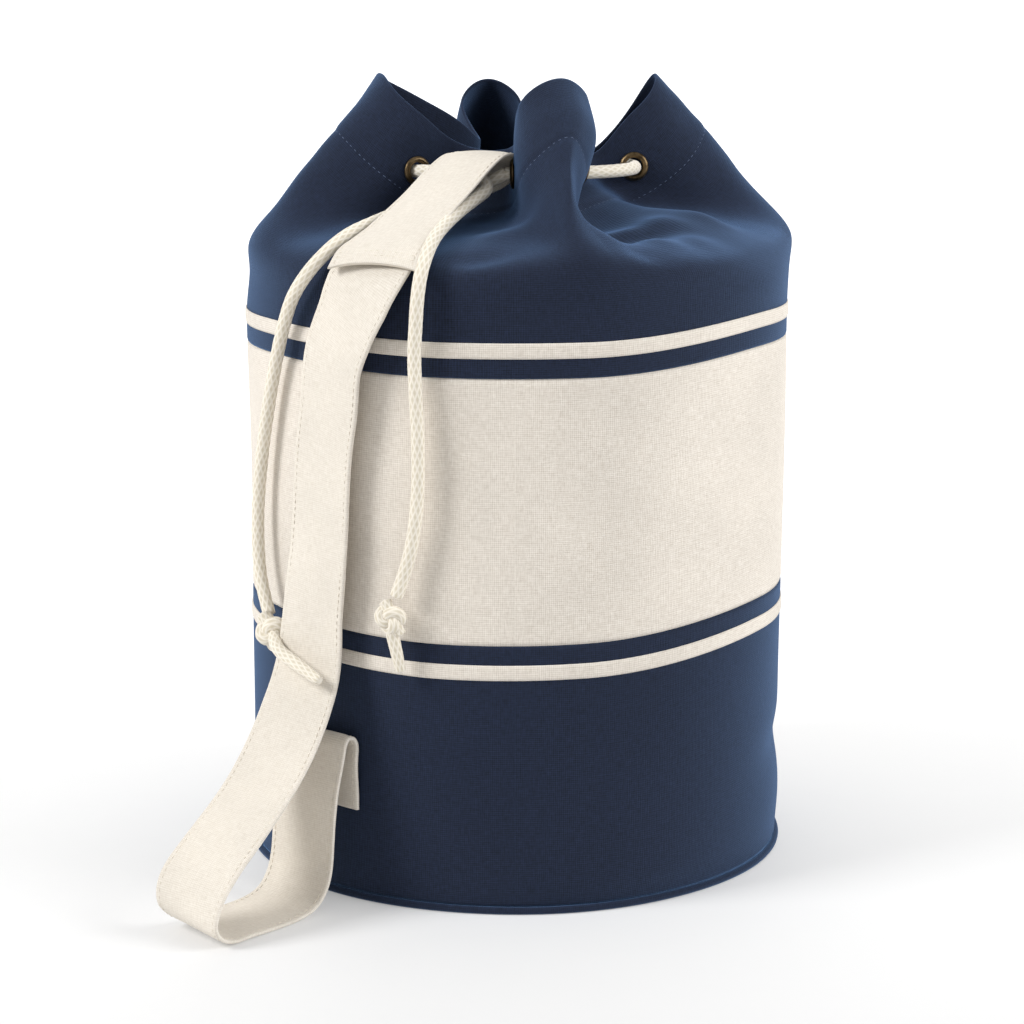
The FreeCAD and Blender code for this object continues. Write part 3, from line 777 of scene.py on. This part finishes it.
def mouth_level(number):
    """Key points round the sack at one level, front lobe first."""
    share = LOBE_SHARE[number]
    points = []
    for index, (azimuth, width, reach, lift) in enumerate(LOBES):
        after = LOBES[(index + 1) % 4][0] + (360 if index == 3 else 0)
        *half, valley = MOUTH_LEVELS[number]
        spread = 1 + (width - 1) * share
        half_lobe = []
        for radius, angle, height in half[::-1]:
            drawn = share * max(0.0, min(1.0, (radius - 40.0) / 60.0))
            half_lobe.append((radius + reach * drawn, angle * spread, height + lift * drawn))
        left = [(radius, azimuth - angle, height) for radius, angle, height in half_lobe]
        right = [(radius, azimuth + angle, height) for radius, angle, height in half_lobe[2::-1]]
        if index == 0 and number in FRONT_RIGHT:
            left[-1] = FRONT_RIGHT[number][0]
            right = FRONT_RIGHT[number][1:]
        if index in CORNERS:
            corner, corner_turn, fade = CORNERS[index]
            left, right = ([(radius + corner[number] * max(0.0, 1 - abs(turn - corner_turn) / fade),
                             turn, height) for radius, turn, height in side]
                           for side in (left, right))
        if number in SMALLER_HALF.get(index, ()):
            left[:3] = SMALLER_HALF[index][number][2::-1]
        if number in LARGER_HALF.get(index, ()):
            right = LARGER_HALF[index][number]
        points.extend(in_plane(turn, radius, 0, height) for radius, turn, height in left + right)
        middle = (azimuth + after) / 2
        pressed = PRESS_DEPTH[number] if abs(middle - PRESSED_VALLEY) < 5 else 0
        radius, turn, height = valley[0], middle, valley[2] - pressed
        if index == 2 and number in SMALLER_HALF[3]:
            radius, turn, height = SMALLER_HALF[3][number][3]
        points.append(in_plane(turn, radius, 0, height))
    return np.array(points)


MOUTH_ROWS = 92
MOUTH_STEPS = 10        # mesh columns between two key points of a level


def mouth_surface():
    """The outer skin of the top panel as rows of points from the seam to the rim.

    Returns it with each row's distance up the cloth from the seam.
    """
    levels = np.array([mouth_level(number) for number in range(len(MOUTH_LEVELS))])
    spans = levels.shape[1]
    places = np.linspace(0, spans, spans * MOUTH_STEPS, endpoint=False)
    rings = np.array([spline(level, places, closed=True) for level in levels])
    steps = np.linalg.norm(np.diff(rings, axis=0), axis=2).mean(axis=1)
    knots = np.concatenate([[0], np.cumsum(steps)])
    wanted = np.linspace(0, knots[-1], MOUTH_ROWS)
    index = np.interp(wanted, knots, np.arange(len(knots)))
    return spline(rings, index, knots=knots), wanted


mouth, mouth_up = mouth_surface()
mouth_normal = unit(np.cross(np.roll(mouth, -1, axis=1) - np.roll(mouth, 1, axis=1),
                             np.gradient(mouth, axis=0)))
mouth_around = 2 * math.pi * WALL * np.arange(mouth.shape[1] + 1) / mouth.shape[1]
rim_distance = mouth_up[-1] - mouth_up
creases = wave_noise(mouth, 34.0, 3.7) * 1.3 + wave_noise(mouth, 15.0, 9.1) * 0.45
gathered = smooth_step(45, 110, mouth_up)[:, None]
stitch_dip = bell(rim_distance, HEM_DEPTH, 1.3)[:, None] * 0.45
hem_step = (1 - smooth_step(HEM_DEPTH - 1.0, HEM_DEPTH + 1.5, rim_distance))[:, None] * 0.5
on_dome = smooth_step(40, 70, mouth_up)[:, None] * (1 - smooth_step(112, 135, mouth_up)[:, None])
# Soft rises of the dome about places seen from above: x, y, half width, half depth, height.
for x, y, wide, deep, height in (
        (46, -104, 9, 12, -5.0), (35, -117, 8, 9, 2.2), (45, -125, 9, 7, 2.6),
        (42, -80, 9, 7, 4.0), (58, -73, 13, 8, 5.0), (77, -62, 14, 10, 4.5),
        (100, -38, 15, 11, 3.5), (73, -99, 15, 12, 6.0), (92, -84, 14, 12, 4.0),
        (-20, -137, 20, 9, -3.5), (-4, -112, 18, 9, 3.0), (68, -127, 18, 8, -2.5)):
    mouth[..., 2] += height * bell(mouth[..., 0], x, wide) * bell(mouth[..., 1], y, deep) * on_dome
mouth = mouth + mouth_normal * (creases * gathered - stitch_dip + hem_step)[..., None]
mouth_azimuth = np.degrees(np.arctan2(mouth[..., 0], -mouth[..., 1]))
low_share = (1 - smooth_step(60, 105, mouth_up))[:, None]
mouth[..., 2] += rise(mouth_azimuth, mouth[..., 2])
mouth[..., :2] *= 1 + (swell(mouth_azimuth) * low_share / WALL)[..., None]


# ---- eyelets

# Section of one brass ring as (distance to its axis, height over the cloth's middle).
EYELET_PROFILE = [(4.75, 0.1), (4.7, 1.6), (4.9, 2.3), (5.4, 2.8), (6.1, 3.0), (6.9, 2.75),
                  (7.6, 2.15), (8.0, 1.5), (7.9, 1.0), (7.2, 0.95), (5.5, 0.95), (5.3, 0.1)]


def cord_crossings():
    """Where the ring of cord passes through the cloth: middles of the holes and normals."""
    spots, normals = [], []
    for column in range(mouth.shape[1]):
        heights = mouth[:, column, 2]
        row = int(np.nonzero((heights[:-1] < RING_HEIGHT) & (heights[1:] >= RING_HEIGHT))[0][0])
        share = (RING_HEIGHT - heights[row]) / (heights[row + 1] - heights[row])
        spots.append(mouth[row, column] * (1 - share) + mouth[row + 1, column] * share)
        normals.append(mouth_normal[row, column])
    spots, normals = np.array(spots), np.array(normals)
    beyond = np.hypot(spots[:, 0], spots[:, 1]) - RING_RADIUS
    found = []
    for column in range(len(spots)):
        after = (column + 1) % len(spots)
        if beyond[column] * beyond[after] < 0:
            share = beyond[column] / (beyond[column] - beyond[after])
            axis = unit(normals[column] * (1 - share) + normals[after] * share)
            found.append((spots[column] * (1 - share) + spots[after] * share
                          - axis * CLOTH / 2, axis))
    return found


EYELET_COLUMNS = 48


def eyelet_rings(number, crossings):
    """The rolled brass rings on both faces of the cloth, at the crossing nearest the frame's."""
    corners = np.array([tuple(v.co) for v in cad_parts["eyelet_%d" % number].data.vertices])
    middle = (corners.min(axis=0) + corners.max(axis=0)) / 2 / MM
    centre, axis = min(crossings, key=lambda one: np.linalg.norm(one[0] - middle))
    first = unit(np.cross(axis, [0, 0, 1.0]))
    second = np.cross(axis, first)
    turns = np.linspace(0, 2 * math.pi, EYELET_COLUMNS, endpoint=False)
    for name, replaced, way in (("eyelet_ring_%d", "eyelet_%d", 1.0),
                                ("eyelet_back_%d", "eyelet_washer_%d", -1.0)):
        rows = [[centre + way * axis * height + radius * (math.cos(turn) * first
                 + way * math.sin(turn) * second) for turn in turns]
                for radius, height in EYELET_PROFILE + EYELET_PROFILE[:1]]
        uv = np.zeros((len(rows), EYELET_COLUMNS + 1, 2))
        ring = weld(grid_mesh(name % number, np.array(rows), uv))
        dress(ring, "antique_brass", BRASS)
        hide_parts(replaced % number)
        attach(ring, "sack")
    return centre


crossings = cord_crossings()
eyelet_centres = [eyelet_rings(number, crossings) for number in range(1, 9)]

top = thicken(grid_mesh("top_cloth", mouth, cloth_map(mouth_around, CREAM_SEAM + mouth_up),
                        holes=np.array(eyelet_centres)), CLOTH, smooth=1)
dress(top, "navy_canvas", NAVY, NAVY_INSIDE)
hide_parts("top_panel")
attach(top, "sack")

hem_row = int(np.argmin(np.abs(rim_distance - HEM_DEPTH)))
hem_line, hem_normal = (np.concatenate([grid[hem_row], grid[hem_row][:1]])
                        for grid in (mouth, mouth_normal))
hem_thread = stitches("hem_stitching", hem_line, hem_normal, THREAD_BLUE, 2.7, 0.8, 0.15)
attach(hem_thread, "sack")


# ---- strap and sleeve

BAND_STEPS = 8          # mesh rows between two stations of a band
BAND_COLUMNS = 11       # mesh places across it, besides two at each edge


def station(azimuth, out, shift, height, tip=0.0):
    """A band's middle and side direction at a place in a vertical plane through the axis."""
    return in_plane(azimuth, out, shift, height), sideways(azimuth) + np.array([0, 0, tip])


def ribbon(name, rows, width, thick, spread, crown=0.0, bow=0.0):
    """A band of canvas along rows of stations.

    Spread scales its width at each station, crown is how far its middle stands up, and
    bow is how far the middle of its first end stands back from the corners.

    Returns the piece and, for its stitching, the lines near its edges on both faces with
    the directions they face, then the frames down its middle.
    """
    stations = [station(*row) for row in rows]
    spans = len(stations) - 1
    places = np.linspace(0, spans, spans * BAND_STEPS + 1)
    line = spline([centre for centre, _ in stations], places)
    side = spline([turned for _, turned in stations], places)
    tangent = unit(np.gradient(line, axis=0))
    side = unit(side - tangent * (side * tangent).sum(axis=1)[:, None])
    normal = np.cross(tangent, side)
    side = side * spline(np.array(spread)[:, None], places)
    shares = np.concatenate([[-1, -0.97], np.linspace(-0.9, 0.9, BAND_COLUMNS), [0.97, 1]])
    lift = crown * (1 - shares ** 2)
    thin = np.where(np.abs(shares) > 0.99, 0.55, 1.0) * np.where(np.abs(shares) > 0.96, 0.9, 1.0)
    waver = wave_noise(line[:, None, :] + side[:, None, :] * shares[None, :, None] * width / 2,
                       26.0, 5.3) * 0.35
    seam = -0.28 * bell(np.abs(shares) * width / 2, width / 2 - EDGE_SEAM, 0.9)
    loops = []
    for face, order in ((1, slice(None)), (-1, slice(None, None, -1))):
        height = (lift[None, :] + waver + face * (thick / 2 * thin + seam)[None, :])
        skin = (line[:, None, :] + side[:, None, :] * (shares * width / 2)[None, :, None]
                + normal[:, None, :] * height[..., None])
        near_end = bell(np.linspace(0, 1, len(line)), 0, 0.08)[:, None]
        skin += tangent[:, None, :] * (bow * (0.4 - shares ** 2)[None, :] * near_end)[..., None]
        loops.append(skin[:, order])
    columns = np.concatenate([shares * width / 2, width + shares * width / 2, [3 * width / 2]])
    piece = grid_mesh(name, np.concatenate(loops, axis=1), cloth_map(columns, distances(line)))
    cap_band(piece.data, len(shares), len(places))
    dress(piece, "cream_webbing", WEBBING)
    lines = []
    for at in (-1, 1):
        for face in (1, -1):
            share = at * (1 - 2 * EDGE_SEAM / width)
            height = crown * (1 - share ** 2) + face * (thick / 2 - 0.2)
            lines.append((line + side * share * width / 2 + normal * height, normal * face))
    return piece, lines, (line, side, normal)


def cap_band(mesh, half, rows):
    """Closes the two ends of a band whose rings run over the face and back under it."""
    shape = bmesh.new()
    shape.from_mesh(mesh)
    shape.verts.ensure_lookup_table()
    ring = 2 * half
    for row, flip in ((0, True), (rows - 1, False)):
        for k in range(half - 1):
            corner = [row * ring + k, row * ring + k + 1,
                      row * ring + ring - 2 - k, row * ring + ring - 1 - k]
            if flip:
                corner.reverse()
            shape.faces.new([shape.verts[i] for i in corner]).smooth = False
    shape.normal_update()
    bmesh.ops.recalc_face_normals(shape, faces=shape.faces)
    shape.to_mesh(mesh)
    shape.free()


# Stations down the strap: azimuth of its plane, distance out, shift to the side, height,
# and how much its left edge is tipped up.
STRAP_STATIONS = [
    (328.0, 113, -11.5, 348.8), (328.4, 124, -10.5, 346.4), (328.8, 136, -9.5, 340.8),
    (329.4, 146.5, -7, 335.4), (324.2, 152.2, -17.0, 327), (318.2, 152.0, -27.5, 317),
    (314.6, 151.4, -32.0, 306), (313.2, 151.6, -31.0, 296), (312.6, 151.9, -28.8, 286),
    (312.4, 152.2, -26.5, 265), (312.0, 152.4, -24, 245), (312.5, 153.2, -19.5, 214),
    (313.5, 155.6, -16, 182), (316.0, 158.2, -6.5, 150), (322.0, 165.0, 8.5, 122),
    (324.0, 172.3, 15, 105), (325.0, 182.0, 19, 89), (323.5, 199.4, 15.6, 69, 0.02),
    (321.0, 220.9, 7.5, 51, 0.08)] + [
    (STRAP_AZIMUTH, out, 0, height, tip) for out, height, tip in (
        (239, 36.5, 0.16), (249, 23.5, 0.2), (249.5, 12, 0.18), (241, 4.6, 0.09), (226, 2.0, 0),
        (208, 1.6, 0), (192, 2.2, 0), (180, 6, 0), (173, 15, 0), (169.6, 30, 0), (167.8, 48, 0),
        (164.6, 66, 0), (159.8, 82, 0), (155.6, 89.5, 0), (152.4, 88.5, 0), (150.8, 78, 0),
        (150.4, 60, 0), (150.4, 50, 0))]
STRAP_SPREAD = [0.62, 0.72, 0.86, 0.96] + [1.0] * (len(STRAP_STATIONS) - 4)
strap, strap_seams, _ = ribbon("strap_band", STRAP_STATIONS, STRAP_WIDE, STRAP_THICK,
                               STRAP_SPREAD)
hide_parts("shoulder_strap", "strap_bight", "strap_sewn_end")
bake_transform(strap)
for number, (points, normals) in enumerate(strap_seams):
    thread = stitches("strap_stitching_%d" % number, points, normals, THREAD_CREAM, 2.8, 0.9, 0.26)
    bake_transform(thread)

SLEEVE_STATIONS = [
    (330.0, 153.2, -6.5, 334.8, 0.08), (329.2, 147, -8, 340.5, 0.05),
    (328.2, 136, -9.8, 345.8, 0.02), (327.2, 122, -11.6, 352.2), (326.2, 107, -13.6, 360.2),
    (325.4, 93, -16.4, 368.8, -0.01), (324.8, 81, -18.6, 377.4, -0.02),
    (324.6, 70, -20, 384.2, -0.03), (324.6, 60, -20.4, 386.8, -0.03),
    (324.6, 52, -19.5, 384, -0.02), (324.6, 48, -16, 377.5), (324.6, 48, -12, 371)]
SLEEVE_SPREAD = [1.04, 1.02, 0.96, 0.90, 0.86, 0.84, 0.84, 0.85, 0.85, 0.82, 0.6, 0.4]
sleeve, sleeve_seams, sleeve_frames = ribbon("sleeve_band", SLEEVE_STATIONS, SLEEVE_WIDE,
                                             SLEEVE_THICK, SLEEVE_SPREAD, SLEEVE_CROWN, bow=3.0)
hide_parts("strap_sleeve")
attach(sleeve, "sack")


def sleeve_hem(distance):
    """A row of places across the sleeve's outer face, a distance in from its hem."""
    line, side, normal = sleeve_frames
    at = int(np.argmin(np.abs(distances(line) - distance)))
    shares = np.linspace(-0.94, 0.94, 30)
    height = SLEEVE_CROWN * (1 - shares ** 2) + SLEEVE_THICK / 2 - 0.15
    tangent = np.cross(side[at], normal[at])
    points = (line[at] + side[at] * (shares * SLEEVE_WIDE / 2)[:, None]
              + normal[at] * height[:, None] + tangent * (2.4 * (0.4 - shares ** 2))[:, None])
    return points, np.broadcast_to(normal[at], points.shape)


for number, (points, normals) in enumerate([sleeve_hem(5.0), sleeve_hem(9.0)] + sleeve_seams[::2]):
    thread = stitches("sleeve_stitching_%d" % number, points, normals, THREAD_CREAM, 2.6, 0.9, 0.24)
    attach(thread, "sack")


# ---- floor and light

def plain_sheet(name, corners, material):
    """A flat rectangle of the studio."""
    mesh = bpy.data.meshes.new(name)
    mesh.from_pydata(corners, [], [(0, 1, 2, 3)])
    mesh.materials.append(material)
    placed(name, mesh)


floor_made = Nodes("pale_floor")
floor_place = floor_made.add("TexCoord").outputs["Object"]
floor_rough = floor_made.remap(floor_made.noise(floor_place, 40.0, 3.0), 0.0, 1.0, 0.6, 0.75)
floor_depth = floor_made.add("SeparateXYZ", {"Vector": floor_place}).outputs["Y"]
floor_glow = floor_made.remap(floor_depth, -0.3, 1.5, 0.18, 0.85)
plain_sheet("floor", [(-6, -3, 0), (6, -3, 0), (6, 9, 0), (-6, 9, 0)], floor_made.finish(
    Base_Color=(0.6, 0.6, 0.6, 1), Roughness=floor_rough, Emission_Color=(1, 1, 1, 1),
    Emission_Strength=floor_glow))
plain_sheet("backdrop", [(-6, 8.9, 0), (6, 8.9, 0), (6, 8.9, 5), (-6, 8.9, 5)],
            Nodes("white_backdrop").finish(Base_Color=(0.6, 0.6, 0.6, 1), Roughness=0.8,
                                           Emission_Color=(1, 1, 1, 1), Emission_Strength=0.8))


def soft_light(name, place, aim, size, power):
    """A square softbox pointing at a place."""
    lamp = bpy.data.lights.new(name, "AREA")
    lamp.shape = "SQUARE"
    lamp.size = size
    lamp.energy = power
    holder = placed(name, lamp)
    holder.location = place
    holder.rotation_euler = (Vector(aim) - Vector(place)).to_track_quat("-Z", "Y").to_euler()


soft_light("key", (-1.9, -0.85, 1.6), (0, 0, 0.2), 0.9, 42)
soft_light("fill", (2.0, -0.6, 1.3), (0, 0, 0.2), 1.2, 34)
soft_light("top", (0.2, 0.6, 2.4), (0, 0, 0.3), 1.6, 9)
world = bpy.data.worlds.new("studio")
world.use_nodes = True
sky = world.node_tree.nodes["Background"]
sky.inputs["Color"].default_value = (1, 1, 1, 1)
sky.inputs["Strength"].default_value = 0.53
bpy.context.scene.world = world
bpy.context.scene.view_settings.view_transform = "Standard"
